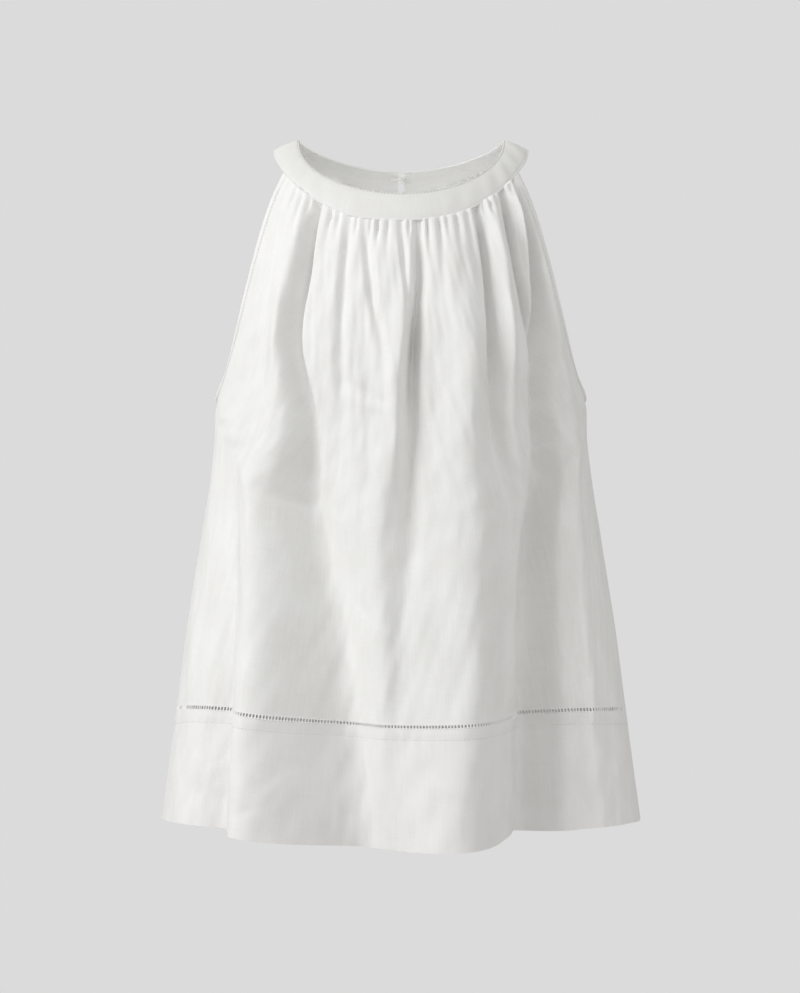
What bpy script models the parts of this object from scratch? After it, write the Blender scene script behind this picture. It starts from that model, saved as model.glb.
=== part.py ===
"""Stand collar top: a sleeveless linen top gathered into a stand collar.

Metres, +Z up. The front faces -Y, and +X is on the right of someone who looks at it.
The origin is the middle of the neck at shoulder height, where a wearer's neck and
shoulders hold the top. It keeps the hollow form that it has when it is worn.

Every sheet is a wall between an outer surface and the same surface moved inwards. A
panel's surface is a stack of rows. Each row is an arc of an ellipse round the body's
upright axis, from the centre line to the armhole or the side seam, and gathers and
folds move its points in and out along the surface's own normal.
"""

import bpy
import numpy as np

MM = 0.001

# Cloth and seams, in millimetres
SEAM_GAP = 0.3
PANEL_WALL = 1.5
BAND_WALL = 2.2
COLLAR_WALL = 2.0
BINDING_WALL = 2.0
BINDING_WIDTH = 6.6
BINDING_ROUND = 0.5
BINDING_FLARE = 0.3

# The neck: an oval, low at the front and kinked on top of the shoulders
NECK_HALF_WIDTH = 92.0
NECK_FRONT_DEPTH = 95.0
NECK_BACK_DEPTH = 50.0
NECK_TOP = 6.0
NECK_FRONT_DROP = 59.6
NECK_BACK_DROP = 21.4
NECK_BACK_POWER = 1.7

# Places round the neck, in degrees from the centre front
SHOULDER_SEAM = 121.0
SHOULDER_SEAM_GAP = 0.22
COLLAR_END = 178.3
FRONT_CORNER = 69.5
BACK_CORNER = 118.0
BINDING_TURN = 4.2
COLLAR_ROUND = 1.2

# Lengths, in millimetres below the origin or along the cloth
HEMSTITCH_CENTRE = 508.0
HEM_FRONT_CENTRE = 613.0
HEM_BACK_CENTRE = 607.0
SIDE_SEAM_HALF_GAP = 0.15
SEAM_REACH = 60.0
NORMAL_REACH = 25.0
FOLDS_START = 30.0
SLIT_LENGTH = 92.0
SLIT_TOP_HALF = 2.75
SLIT_MIDDLE_HALF = 5.0

# The hook and the eye at the centre back, under the collar's ends
WIRE_RADIUS = 0.4
CLOSURE_DOWN = 7.0
CLOSURE_INSIDE = 2.35

FRONT_GATHERS = 31
BACK_GATHERS = 28

LINEN = (0.84, 0.835, 0.81)
METAL = (0.78, 0.78, 0.77)


def table(names, *rows):
    """Columns by name, from rows of numbers."""
    return dict(zip(names.split(), np.array(rows, dtype=float).T))


COLLAR = table(
    "angle  width  slope",
    (0, 29.5, 59),
    (28, 29.8, 55),
    (45, 26.4, 47),
    (57, 24.4, 41),
    (69, 23.2, 35),
    (80, 24.2, 28),
    (90, 25.0, 22),
    (100, 25.0, 19),
    (125, 25.5, 15),
    (145, 25.8, 24),
    (163, 26.0, 37),
    (180, 26.0, 46),
)

# A row is named by the depth of its centre point below the origin.
FRONT_CENTRE = table(
    "depth  y",
    (79, -110.7),
    (100, -119),
    (125, -127),
    (165, -136.5),
    (210, -142.5),
    (260, -145),
    (341, -147.5),
    (430, -152.5),
    (508, -157),
    (613, -161),
)
FRONT_ARMHOLE = table(
    "depth  x  y  z",
    (79, 101.0, -47.0, -33.0),
    (100, 108.3, -54.5, -50),
    (125, 115.0, -61.5, -70),
    (165, 125.2, -67.5, -106),
    (210, 136.0, -66.5, -147),
    (255, 146.3, -56.0, -184),
    (288, 155.5, -39.5, -210),
    (316, 162.8, -20.0, -226),
    (341, 165.6, 0.0, -231.5),
)
FRONT_SIDE = table(
    "depth  x  z  end",
    (341, 165.6, -231.5, 90),
    (358, 166.8, -262, 89),
    (378, 171.0, -297, 87),
    (418, 181.8, -364, 83),
    (463, 193.2, -437, 80),
    (508, 202.0, -505, 78),
    (613, 215.3, -604, 77),
)
BACK_CENTRE = table(
    "depth  y",
    (34, 68.0),
    (52, 76),
    (75, 86),
    (98, 94),
    (150, 105),
    (210, 111),
    (270, 112),
    (330, 113),
    (420, 117.5),
    (508, 123),
    (607, 128),
)
BACK_ARMHOLE = table(
    "depth  x  y  z",
    (34, 94.0, 45.3, -11.5),
    (58, 103.5, 55.5, -40),
    (98, 111.5, 63.5, -75),
    (150, 120.0, 67.0, -120),
    (205, 131.5, 60.0, -165),
    (255, 146.0, 43.0, -203),
    (297, 160.5, 21.0, -226),
    (330, 165.6, 0.0, -231.5),
)
BACK_SIDE = table(
    "depth  x  z  end",
    (330, 165.6, -231.5, 90),
    (348, 166.8, -262, 89),
    (370, 171.0, -297, 87),
    (413, 181.8, -364, 84),
    (460, 193.2, -437, 81),
    (508, 202.0, -505, 80),
    (607, 215.3, -604, 79),
)

# How far the cloth of the lower half rises, by the place across the panel
FRONT_RISE = table(
    "across  rise",
    (-1.0, 0.0),
    (-0.85, 6.0),
    (-0.68, 9.0),
    (-0.5, 8.0),
    (-0.3, 3.3),
    (0.0, 0.3),
    (0.2, 1.5),
    (0.33, 4.0),
    (0.42, 7.5),
    (0.54, 9.0),
    (0.7, 8.5),
    (0.85, 6.5),
    (1.0, 0.0),
)
BACK_RISE = table(
    "across  rise",
    (-1.0, 0.0),
    (-0.6, 3.0),
    (0.0, 0.0),
    (0.6, 3.0),
    (1.0, 0.0),
)

# How far the hem of the front rises beyond that, below the hemstitching
HEM_STEP = table(
    "across  rise",
    (-1.0, 0.0),
    (0.1, 0.0),
    (0.2, 0.0),
    (0.28, 0.5),
    (0.34, 3.0),
    (0.40, 4.0),
    (0.46, 1.5),
    (0.54, 0.5),
    (0.65, 1.5),
    (0.85, 2.0),
    (1.0, 0.0),
)
NO_STEP = table("across  rise", (-1.0, 0.0), (0.0, 0.0), (1.0, 0.0))

# How far the cloth on each side stands forward as a flute, between the middle and the seam
FLARE_START = 0.5
FRONT_FLARE = table(
    "depth  left  right",
    (250, 0.0, 0.0),
    (341, 8.0, 18.0),
    (430, 12.0, 30.0),
    (508, 16.0, 38.0),
    (613, 18.0, 42.0),
)
BACK_FLARE = table(
    "depth  left  right",
    (250, 0.0, 0.0),
    (330, 8.0, 6.0),
    (420, 14.0, 12.0),
    (508, 18.0, 16.0),
    (607, 20.0, 18.0),
)

FRONT_ROWS = (79, 86, 96, 110, 129, 151, 175, 199, 223, 245, 266, 288, 310, 327, 341)
FRONT_ROWS += (368, 400, 436, 473, 508)
FRONT_BAND_ROWS = (543, 578, 613)
BACK_ROWS = (34, 40, 49, 61, 76, 94, 111, 126, 147, 170, 193, 216, 240, 264, 288, 310, 330)
BACK_ROWS += (358, 392, 430, 469, 508)
BACK_BAND_ROWS = (541, 574, 607)

# The bent wires, in millimetres from the middle of the closure: x runs across the top, y
# down the collar and z out of it
HOOK_WIRE = table(
    "x  y  z",
    (-6.0, -0.2, -1.2),
    (-7.4, -1.4, -1.2),
    (-8.8, -1.4, -1.2),
    (-9.4, 0.0, -1.2),
    (-8.8, 1.4, -1.2),
    (-7.4, 1.4, -1.2),
    (-5.2, 0.4, -1.2),
    (-3.0, 0.1, -1.2),
    (0.4, 0.1, -1.25),
    (1.5, 0.1, -0.9),
    (1.95, 0.1, 0.0),
    (1.4, 0.1, 1.0),
    (0.3, 0.1, 1.3),
    (-0.9, 0.1, 1.25),
)
EYE_WIRE = table(
    "x  y  z",
    (8.2, -2.6, 0.0),
    (9.5, -3.4, 0.0),
    (8.4, -4.6, 0.0),
    (6.8, -4.0, 0.0),
    (3.2, -2.9, 0.0),
    (1.0, -2.6, 0.0),
    (0.1, -1.6, 0.0),
    (0.0, 0.0, 0.0),
    (0.1, 1.6, 0.0),
    (1.0, 2.6, 0.0),
    (3.2, 2.9, 0.0),
    (6.8, 4.0, 0.0),
    (8.4, 4.6, 0.0),
    (9.5, 3.4, 0.0),
    (8.2, 2.6, 0.0),
)

# How high the gathers stand, by the distance below the collar
GATHERS = table(
    "below  height",
    (0, 1.1),
    (8, 2.1),
    (20, 2.2),
    (50, 1.5),
    (95, 0.5),
    (140, 0.0),
    (600, 0.0),
)

# The large folds, one to a row. A fold's place across the panel (p) and its height out of
# the cloth in millimetres (h) are given at seven depths from the collar to the hem. Each
# flank has its own width in millimetres, at the collar and at the hem.
FOLD_COLUMNS = """p1 p2 p3 p4 p5 p6 p7  h1 h2 h3 h4 h5 h6 h7
    left_top left_hem right_top right_hem"""
FRONT_STATIONS = np.array([85.0, 140.0, 200.0, 270.0, 350.0, 480.0, 613.0])
BACK_STATIONS = np.array([38.0, 100.0, 170.0, 250.0, 340.0, 480.0, 607.0])
FRONT_FOLDS = table(
    FOLD_COLUMNS,
    (-0.80, -0.74, -0.69, -0.62, -0.60, -0.545, -0.485, 0.5, 1, 1.5, 2.5, 4, 7, 8, 9, 9, 28, 28),
    (-0.90, -0.87, -0.80, -0.71, -0.69, -0.63, -0.585, 0, -0.5, -1, -2, -4, -7, -13, 30, 30, 9, 9),
    (-0.72, -0.70, -0.68, -0.60, -0.47, -0.45, -0.45, 1, 3, 6, 9, 13, 16, 17, 20, 32, 9, 46),
    (-0.60, -0.595, -0.58, -0.50, -0.43, -0.38, -0.36, -6, -10, -13, -12, -7, 0, 0, 9, 9, 9, 10),
    (-0.50, -0.50, -0.48, -0.40, -0.24, -0.16, -0.08, 0, 0, 0, -4, -13, -20, -22, 12, 64, 15, 26),
    (-0.36, -0.355, -0.32, -0.27, -0.27, -0.27, -0.27, -3, -4, -3.5, -2, 0, 0, 0, 9, 9, 9, 9),
    (0.05, 0.04, -0.01, -0.03, -0.065, -0.06, -0.06, 1, 3, 5, 6, 5, 4, 2, 14, 18, 9, 14),
    (0.11, 0.11, 0.08, 0.055, 0.02, -0.01, 0.00, -4, -6, -12, -12, -8, -3, 0, 9, 14, 10, 20),
    (0.38, 0.38, 0.37, 0.28, 0.24, 0.21, 0.17, 1, 4, 10, 14, 16, 17, 16, 22, 40, 14, 18),
    (0.57, 0.56, 0.51, 0.42, 0.36, 0.30, 0.28, -5, -8, -9, -7, -3, -1, -1, 9, 12, 9, 10),
    (0.66, 0.65, 0.60, 0.50, 0.44, 0.40, 0.38, 2, 5, 8, 5, 2, 0, 0, 9, 9, 9, 9),
    (0.81, 0.765, 0.76, 0.74, 0.70, 0.70, 0.70, -4, -6, -6, 0, 0, 0, 0, 9, 9, 9, 9),
    (1.00, 0.93, 0.84, 0.73, 0.555, 0.455, 0.43, -5, -8, -15, -17, -17, -17, -22, 9, 26, 9, 16),
    (0.99, 0.97, 0.95, 0.86, 0.71, 0.67, 0.65, 0, 2, 5, 5, 5, 6, 6, 14, 14, 20, 20),
)
BACK_FOLDS = table(
    FOLD_COLUMNS,
    (-0.80, -0.79, -0.78, -0.76, -0.73, -0.70, -0.68, 0.5, 1, 3, 5, 8, 11, 12, 18, 24, 18, 26),
    (-0.62, -0.60, -0.58, -0.55, -0.53, -0.50, -0.48, -4, -5, -7, -8, -9, -10, -11, 9, 18, 9, 20),
    (-0.40, -0.38, -0.36, -0.33, -0.31, -0.28, -0.27, 1, 3, 5, 7, 9, 10, 10, 16, 26, 14, 22),
    (-0.20, -0.18, -0.16, -0.13, -0.11, -0.10, -0.09, -2, -4, -6, -8, -9, -9, -9, 9, 20, 10, 24),
    (0.16, 0.155, 0.15, 0.14, 0.13, 0.12, 0.12, 1, 2, 4, 6, 8, 9, 9, 14, 24, 16, 26),
    (0.36, 0.35, 0.34, 0.33, 0.32, 0.31, 0.31, -4, -6, -7, -7, -7, -7, -7, 7, 16, 8, 20),
    (0.56, 0.55, 0.54, 0.53, 0.52, 0.51, 0.50, 0.5, 2, 4, 5, 6, 7, 7, 12, 20, 14, 22),
    (0.76, 0.75, 0.74, 0.72, 0.70, 0.68, 0.67, -4, -6, -7, -8, -9, -10, -11, 8, 20, 9, 20),
)

FRONT = dict(
    side=-1,
    centre=FRONT_CENTRE,
    armhole=FRONT_ARMHOLE,
    seam=FRONT_SIDE,
    rise=FRONT_RISE,
    hem_step=HEM_STEP,
    flare=FRONT_FLARE,
    folds=FRONT_FOLDS,
    stations=FRONT_STATIONS,
    gathers=FRONT_GATHERS,
    hem=HEM_FRONT_CENTRE,
)
BACK = dict(
    side=1,
    centre=BACK_CENTRE,
    armhole=BACK_ARMHOLE,
    seam=BACK_SIDE,
    rise=BACK_RISE,
    hem_step=NO_STEP,
    flare=BACK_FLARE,
    folds=BACK_FOLDS,
    stations=BACK_STATIONS,
    gathers=BACK_GATHERS,
    hem=HEM_BACK_CENTRE,
)


# ---- Small tools -----------------------------------------------------------------------


def smooth(places, values, at):
    """A cubic through the values, with each slope taken from the neighbours."""
    slopes = np.gradient(values, places)
    k = np.clip(np.searchsorted(places, at, side="right") - 1, 0, len(places) - 2)
    step = places[k + 1] - places[k]
    t = np.clip((at - places[k]) / step, 0.0, 1.0)
    first = (1 + 2 * t) * (1 - t) ** 2 * values[k]
    last = t**2 * (3 - 2 * t) * values[k + 1]
    bend = t * (1 - t) * step * ((1 - t) * slopes[k] - t * slopes[k + 1])
    return first + last + bend


def points(x, y, z):
    """One array of points from their coordinates."""
    return np.stack(np.broadcast_arrays(x, y, z), axis=-1)


def unit(vectors):
    """The same directions with a length of one."""
    return vectors / np.linalg.norm(vectors, axis=-1, keepdims=True)


def fade(distance, reach):
    """One at the start, and smoothly down to zero at the reach."""
    t = np.clip(distance / reach, 0.0, 1.0)
    return 1 - t * t * (3 - 2 * t)


# ---- The collar's surface --------------------------------------------------------------


def collar_frame(angle):
    """Points of the neck edge, and there the directions down the collar and out of it."""
    turn = np.radians(angle)
    ahead = np.cos(turn)
    front = ahead > 0
    depth = np.where(front, NECK_FRONT_DEPTH, NECK_BACK_DEPTH)
    drop_front = NECK_FRONT_DROP * ahead
    drop_back = NECK_BACK_DROP * np.abs(ahead) ** NECK_BACK_POWER
    z = NECK_TOP - np.where(front, drop_front, drop_back)
    edge = points(NECK_HALF_WIDTH * np.sin(turn), -depth * ahead, z)
    level = unit(points(np.sin(turn) / NECK_HALF_WIDTH, -ahead / depth, 0 * turn))
    slope = np.radians(smooth(COLLAR["angle"], COLLAR["slope"], np.abs(angle)))[..., None]
    upright = np.array([0.0, 0.0, 1.0])
    down = np.cos(slope) * level - np.sin(slope) * upright
    out = np.sin(slope) * level + np.cos(slope) * upright
    return edge, down, out


def collar_surface(angle, across):
    """The collar between its neck edge (0) and its lower edge (1), a little rounded."""
    edge, down, out = collar_frame(angle)
    width = smooth(COLLAR["angle"], COLLAR["width"], np.abs(angle))
    rise = COLLAR_ROUND * 4 * across * (1 - across)
    return edge + (width * across)[..., None] * down + rise[..., None] * out


def collar_seam(angle):
    """The line that hangs a seam's gap below the collar's lower edge."""
    edge, down, out = collar_frame(angle)
    width = smooth(COLLAR["angle"], COLLAR["width"], np.abs(angle))
    return edge + (width + SEAM_GAP)[..., None] * down


# ---- The panels' surface ---------------------------------------------------------------


def side_edge(half, depth):
    """A panel's edge on +X, from the armhole to the hem, and the turn that ends its arc.

    Along the armhole the arc is centred on the body's axis. Lower down it is flatter, so
    front and back meet in a soft edge at the side seam.
    """
    armhole = half["armhole"]
    seam = half["seam"]
    below = depth >= seam["depth"][0]
    x_arm = smooth(armhole["depth"], armhole["x"], depth)
    y_arm = smooth(armhole["depth"], armhole["y"], depth)
    z_arm = smooth(armhole["depth"], armhole["z"], depth)
    x = np.where(below, smooth(seam["depth"], seam["x"], depth), x_arm)
    z = np.where(below, smooth(seam["depth"], seam["z"], depth), z_arm)
    y = half["side"] * np.maximum(half["side"] * np.where(below, 0.0, y_arm), SIDE_SEAM_HALF_GAP)
    centre_y = smooth(half["centre"]["depth"], half["centre"]["y"], depth)
    end_below = np.radians(smooth(seam["depth"], seam["end"], depth))
    end = np.where(below, end_below, np.arccos(y / centre_y))
    return x, y, z, end


def neck_angle(half, across):
    """The place round the neck that a panel's top point hangs from, on either side."""
    if half is FRONT:
        return (FRONT_CORNER - BINDING_TURN) * across
    inner = BACK_CORNER + BINDING_TURN
    return np.where(across < 0, -1, 1) * (180 - (180 - inner) * np.abs(across))


def flare_push(half, across, depth):
    """How far the cloth stands out of its arc: nothing in the middle and at the seam.

    Beyond the start the share is t squared times one less t, scaled to reach one.
    """
    t = np.clip((np.abs(across) - FLARE_START) / (1 - FLARE_START), 0, 1)
    share = 6.75 * t**2 * (1 - t)
    flare = half["flare"]
    left = smooth(flare["depth"], flare["left"], depth)
    right = smooth(flare["depth"], flare["right"], depth)
    return share * np.where(across < 0, left, right)


def arc(half, across, depth):
    """Ellipse arcs that rise or fall evenly towards the sides."""
    centre_y = smooth(half["centre"]["depth"], half["centre"]["y"], depth)
    side_x, side_y, side_z, end = side_edge(half, depth)
    turn = end * across
    lift = (np.cos(turn) - np.cos(end)) / (1 - np.cos(end))
    x = side_x * np.sin(turn) / np.sin(end)
    y = side_y + (centre_y - side_y) * lift
    y = y + half["side"] * flare_push(half, across, depth)
    z = side_z + (-depth - side_z) * lift
    rise = smooth(half["rise"]["across"], half["rise"]["rise"], across)
    underarm = half["seam"]["depth"][0]
    grown = 1 - fade(depth - underarm, HEMSTITCH_CENTRE - underarm)
    step = smooth(half["hem_step"]["across"], half["hem_step"]["rise"], across)
    stepped = 1 - fade(depth - HEMSTITCH_CENTRE, half["hem"] - HEMSTITCH_CENTRE)
    return points(x, y, z + rise * grown + step * stepped)


def plain_surface(half, across, depth):
    """A panel without folds, whose top rows pass smoothly into the collar's lower edge."""
    depth = depth + 0 * across
    across = across + 0 * depth
    top = half["centre"]["depth"][0]
    reach = fade(depth - top, SEAM_REACH)[..., None]
    shift = collar_seam(neck_angle(half, across)) - arc(half, across, top + 0 * depth)
    return arc(half, across, depth) + reach * shift


def surface_normal(half, across, depth):
    """The outward normal, turned into the collar's own at the very top."""
    depth = depth + 0 * across
    across = across + 0 * depth
    step = 0.004
    left = plain_surface(half, np.clip(across - step, -1, 1), depth)
    right = plain_surface(half, np.clip(across + step, -1, 1), depth)
    top = half["centre"]["depth"][0]
    upper = plain_surface(half, across, np.clip(depth - 1.0, top, None))
    lower = plain_surface(half, across, np.clip(depth + 1.0, None, half["hem"]))
    normal = unit(np.cross(right - left, upper - lower))
    collar_out = collar_frame(neck_angle(half, across))[2]
    near = fade(depth - top, NORMAL_REACH)[..., None]
    normal = unit(half["side"] * -normal * (1 - near) + collar_out * near)
    at_seam = (np.abs(across) > 0.999) & (depth >= half["seam"]["depth"][0])
    normal[..., 1] = np.where(at_seam, 0.0, normal[..., 1])
    return unit(normal)


def gather_height(half, across, depth):
    """Ridges and troughs of the gathers: they turn at each column of a panel."""
    below = depth - half["centre"]["depth"][0]
    count = half["gathers"]
    wave = np.cos(np.pi * count * (across + 1))
    uneven = 1 + 0.2 * np.sin(9.0 * across + 1) + 0.2 * np.sin(23.0 * across)
    return wave * uneven * smooth(GATHERS["below"], GATHERS["height"], below)


def fold_height(half, across, depth):
    """The sum of the large folds: each is a bell across the cloth with its own two flanks."""
    folds = half["folds"]
    stations = half["stations"]
    top = half["centre"]["depth"][0]
    half_arc = 0.5 * np.pi * (side_edge(half, depth)[0] + 10)
    share = (depth - top) / (half["hem"] - top)
    total = 0 * across * depth
    for k in range(len(folds["p1"])):
        place = np.array([folds[f"p{j}"][k] for j in range(1, 8)])
        height = np.array([folds[f"h{j}"][k] for j in range(1, 8)])
        offset = (across - smooth(stations, place, depth)) * half_arc
        left = folds["left_top"][k] + (folds["left_hem"][k] - folds["left_top"][k]) * share
        right = folds["right_top"][k] + (folds["right_hem"][k] - folds["right_top"][k]) * share
        width = np.where(offset < 0, left, right)
        total = total + smooth(stations, height, depth) * np.exp(-((offset / width) ** 2))
    return total * fade(top + FOLDS_START - depth, FOLDS_START)


def draped_surface(half, across, depth):
    """A panel's outer surface with its gathers and folds, and the normal there."""
    base = plain_surface(half, across, depth)
    normal = surface_normal(half, across, depth)
    inside = 1 - across**8
    height = gather_height(half, across, depth) + fold_height(half, across, depth)
    return base + (inside * height)[..., None] * normal, normal


# ---- Solids ----------------------------------------------------------------------------


def linen(name, colour=LINEN, roughness=0.85, metallic=0.0):
    """A Principled material."""
    material = bpy.data.materials.new(name)
    material.use_nodes = True
    shader = material.node_tree.nodes["Principled BSDF"]
    shader.inputs["Base Color"].default_value = (*colour, 1)
    shader.inputs["Roughness"].default_value = roughness
    shader.inputs["Metallic"].default_value = metallic
    return material


def add_object(name, verts, faces, material):
    """A smooth-shaded mesh object from points in millimetres."""
    mesh = bpy.data.meshes.new(name)
    mesh.from_pydata((np.asarray(verts) * MM).tolist(), [], faces)
    mesh.validate()
    mesh.shade_smooth()
    mesh.materials.append(material)
    item = bpy.data.objects.new(name, mesh)
    bpy.context.collection.objects.link(item)
    return item


def grid_faces(ids):
    """Four-sided faces between the rows and columns of a grid of point numbers."""
    corners = (ids[:-1, :-1], ids[1:, :-1], ids[1:, 1:], ids[:-1, 1:])
    return np.stack(corners, axis=-1).reshape(-1, 4)


def wall(name, outer, normal, thickness, faces, material, outward):
    """A closed wall: the outer points, the same points moved inwards, and their edges."""
    used, faces = np.unique(faces, return_inverse=True)
    faces = faces.reshape(-1, 4)
    outer = outer.reshape(-1, 3)[used]
    inner = outer - thickness * normal.reshape(-1, 3)[used]
    if not outward:
        faces = faces[:, ::-1]
    ends = np.concatenate([faces[:, [k, (k + 1) % 4]] for k in range(4)])
    edges = {(int(a), int(b)) for a, b in ends}
    rim = sorted(edge for edge in edges if edge[::-1] not in edges)
    count = len(outer)
    shell = [list(map(int, face)) for face in faces]
    shell += [[int(k) + count for k in face[::-1]] for face in faces]
    shell += [[b, a, a + count, b + count] for a, b in rim]
    return add_object(name, np.concatenate([outer, inner]), shell, material)


def columns(half):
    """Places across a panel: each gather has one column on its ridge and one in its trough."""
    return np.linspace(-1, 1, 2 * half["gathers"] + 1)[None, :]


def make_front_panel(material):
    depth = np.array(FRONT_ROWS, dtype=float)[:, None]
    outer, normal = draped_surface(FRONT, columns(FRONT), depth)
    ids = np.arange(outer[..., 0].size).reshape(outer.shape[:2])
    return wall("front_panel", outer, normal, PANEL_WALL, grid_faces(ids), material, True)


def make_back_panel(material):
    """The back, with its centre column parted down the slit."""
    depth = np.array(BACK_ROWS, dtype=float)[:, None]
    below = depth - depth[0]
    closing = np.clip(1 - (below / SLIT_LENGTH) ** 4, 0, None) ** 0.5
    widening = (SLIT_MIDDLE_HALF - SLIT_TOP_HALF) * np.sin(np.pi * np.clip(below / SLIT_LENGTH, 0, 1))
    parted = (SLIT_TOP_HALF + widening) * closing / (0.5 * np.pi * side_edge(BACK, depth)[0])
    half_columns = columns(BACK)[:, : BACK_GATHERS + 1]
    left = -1 + (1 - parted) * (half_columns + 1)
    across = np.concatenate([left, -left[:, ::-1]], axis=1)
    outer, normal = draped_surface(BACK, across, depth)
    ids = np.arange(across.size).reshape(across.shape)
    middle = BACK_GATHERS
    joined = below[:, 0] >= SLIT_LENGTH
    ids[joined, middle + 1] = ids[joined, middle]
    faces = np.concatenate([grid_faces(ids[:, : middle + 1]), grid_faces(ids[:, middle + 1 :])])
    return wall("back_panel", outer, normal, PANEL_WALL, faces, material, False)


def make_band(name, half, rows, material):
    """The deep hem band: the same surface carried on below the hemstitching."""
    depth = np.array((HEMSTITCH_CENTRE + SEAM_GAP, *rows), dtype=float)[:, None]
    outer, normal = draped_surface(half, columns(half), depth)
    ids = np.arange(outer[..., 0].size).reshape(outer.shape[:2])
    return wall(name, outer, normal, BAND_WALL, grid_faces(ids), material, half is FRONT)


def make_collar(name, start, end, material):
    """A stretch of the collar from one angle to another."""
    angles = np.linspace(start, end, max(8, round(abs(end - start) / 4.5)) + 1)
    angle, across = np.meshgrid(angles, np.linspace(0, 1, 4), indexing="xy")
    outer = collar_surface(angle, across)
    normal = collar_frame(angle)[2]
    ids = np.arange(angle.size).reshape(angle.shape)
    return wall(name, outer, normal, COLLAR_WALL, grid_faces(ids), material, True)


def armhole_line():
    """The panels' edge all round the armhole on +X, and the normals along it."""
    arm_rows = [d for d in FRONT_ROWS if d <= FRONT_SIDE["depth"][0]]
    back_rows = [d for d in BACK_ROWS if d <= BACK_SIDE["depth"][0]]
    runs = []
    normals = []
    for half, rows in ((FRONT, arm_rows), (BACK, back_rows)):
        depth = np.array(rows, dtype=float)
        one = np.ones(len(rows))
        runs.append(plain_surface(half, one, depth))
        normals.append(surface_normal(half, one, depth))
    line = np.concatenate([runs[0][:-1], 0.5 * (runs[0][-1:] + runs[1][-1:]), runs[1][-2::-1]])
    normal = np.concatenate([normals[0], normals[1][-2::-1]])
    return line, normal


def make_binding(name, sign, material):
    """A strip that finishes the armhole from the front of the collar to the back."""
    line, normal = armhole_line()
    along = unit(np.gradient(line, axis=0))
    away = unit(np.cross(normal, along))
    flare = BINDING_FLARE * fade(line[:, 2:] - line[:, 2].min(), NORMAL_REACH)
    away = unit(away + flare * normal)
    shares = np.array([0.0, 0.35, 0.7, 1.0])
    reach = SEAM_GAP + BINDING_WIDTH * shares
    rise = BINDING_ROUND * 4 * shares * (1 - shares)
    outer = line[:, None] + reach[None, :, None] * away[:, None]
    outer = outer + rise[None, :, None] * normal[:, None]
    turn = BINDING_TURN * (reach / reach[-1])
    length = np.linalg.norm(np.diff(line, axis=0), axis=1)
    travelled = np.concatenate([[0.0], np.cumsum(length)])
    for row, angle, gone in (
        (0, FRONT_CORNER - BINDING_TURN + turn, travelled),
        (-1, BACK_CORNER + BINDING_TURN - turn, travelled[-1] - travelled),
    ):
        shift = collar_seam(angle) - outer[row]
        outer = outer + fade(gone, NORMAL_REACH)[:, None, None] * shift[None]
    normal = np.repeat(normal[:, None], len(shares), axis=1)
    outer[..., 0] *= sign
    normal[..., 0] *= sign
    ids = np.arange(outer[..., 0].size).reshape(outer.shape[:2])
    return wall(name, outer, normal, BINDING_WALL, grid_faces(ids), material, sign > 0)


def make_wire(name, route, material):
    """A bent wire at the closure: a round tube with closed ends."""
    curve = bpy.data.curves.new(name, "CURVE")
    curve.dimensions = "3D"
    curve.bevel_depth = WIRE_RADIUS * MM
    curve.bevel_resolution = 2
    curve.use_fill_caps = True
    spline = curve.splines.new("POLY")
    spline.points.add(len(route["x"]) - 1)
    edge, down, out = collar_frame(np.full(len(route["x"]), 180.0))
    places = edge + (route["y"] + CLOSURE_DOWN)[:, None] * down
    places = places + (route["z"] - CLOSURE_INSIDE)[:, None] * out
    places = (places + points(route["x"], 0, 0)) * MM
    for point, place in zip(spline.points, places):
        point.co = (*place, 1)
    curve.materials.append(material)
    item = bpy.data.objects.new(name, curve)
    bpy.context.collection.objects.link(item)
    return item


def main():
    for old in list(bpy.data.objects):
        bpy.data.objects.remove(old)
    make_front_panel(linen("front linen"))
    make_back_panel(linen("back linen"))
    make_band("front_hem_band", FRONT, FRONT_BAND_ROWS, linen("front band linen"))
    make_band("back_hem_band", BACK, BACK_BAND_ROWS, linen("back band linen"))
    make_collar("collar_front", -SHOULDER_SEAM, SHOULDER_SEAM, linen("front collar linen"))
    back_start = SHOULDER_SEAM + SHOULDER_SEAM_GAP
    make_collar("collar_back_left", -COLLAR_END, -back_start, linen("left collar linen"))
    make_collar("collar_back_right", back_start, COLLAR_END, linen("right collar linen"))
    make_binding("armhole_binding_left", -1, linen("left binding linen"))
    make_binding("armhole_binding_right", 1, linen("right binding linen"))
    make_wire("hook", HOOK_WIRE, linen("hook wire", METAL, 0.35, 1.0))
    make_wire("eye", EYE_WIRE, linen("eye wire", METAL, 0.35, 1.0))


main()
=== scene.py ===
"""Looks of the stand collar top: washed white linen, its gathers, folds and sewing.

Lengths are in millimetres and become metres when a mesh is made. The front faces -Y and
+X is on the right of someone who looks at it. A panel's surface takes two parameters:
across, from -1 at the left edge to 1 at the right, and depth, the distance of a row's
centre point below the origin.
"""

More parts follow.
